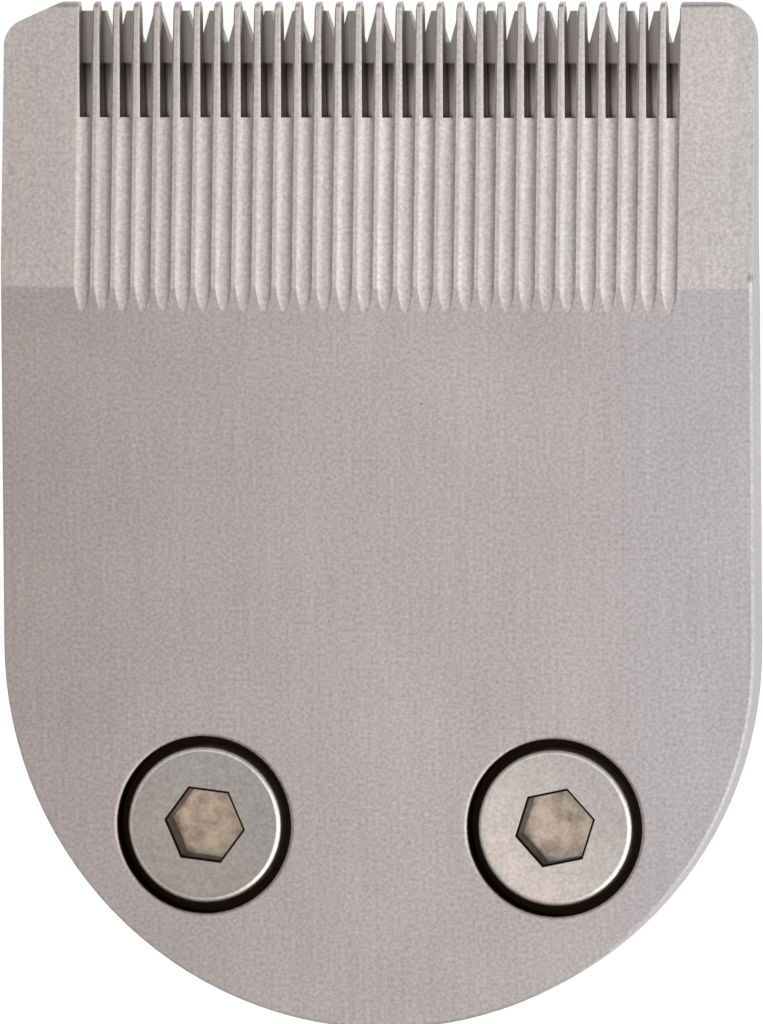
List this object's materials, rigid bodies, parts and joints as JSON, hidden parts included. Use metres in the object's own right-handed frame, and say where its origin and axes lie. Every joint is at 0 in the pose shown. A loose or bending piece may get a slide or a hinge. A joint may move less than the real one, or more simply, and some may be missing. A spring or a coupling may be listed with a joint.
{
  "type": "hair clipper blade",
  "caption": "Flat steel comb blade with ground teeth and a half-round end, with a sliding toothed cutter behind it on a moulded carrier with drive slot and spring.",
  "frame": {"origin": "on the resting plane at the carrier's back, under the middle of the comb's length and width", "axes": "+Y along the comb to the tooth tips, +Z out of the comb's front face, +X along the cutter's slide"},
  "size_m": [0.034, 0.0454, 0.008],
  "materials": {
    "comb_steel": "blasted and ground hardened steel",
    "cutter_steel": "ground hardened steel",
    "fork_acetal": "moulded natural acetal",
    "carrier_nylon": "moulded black glass-filled nylon",
    "spring_steel": "drawn spring wire",
    "screw_steel": "turned stainless steel",
    "insert_brass": "turned and knurled brass"
  },
  "bodies": {
    "comb_unit": {"fixed_blade": "comb_steel", "blade_carrier": "carrier_nylon", "pressure_spring": "spring_steel", "screw_left": "screw_steel", "screw_right": "screw_steel", "insert_left": "insert_brass", "insert_right": "insert_brass"},
    "cutter_unit": {"moving_blade": "cutter_steel", "drive_fork": "fork_acetal"}
  },
  "joints": [
    {"name": "cutter_slide", "type": "slide", "parent": "comb_unit", "child": "cutter_unit", "axis": [1, 0, 0], "range_m": [-0.0015, 0.0005]}
  ]
}
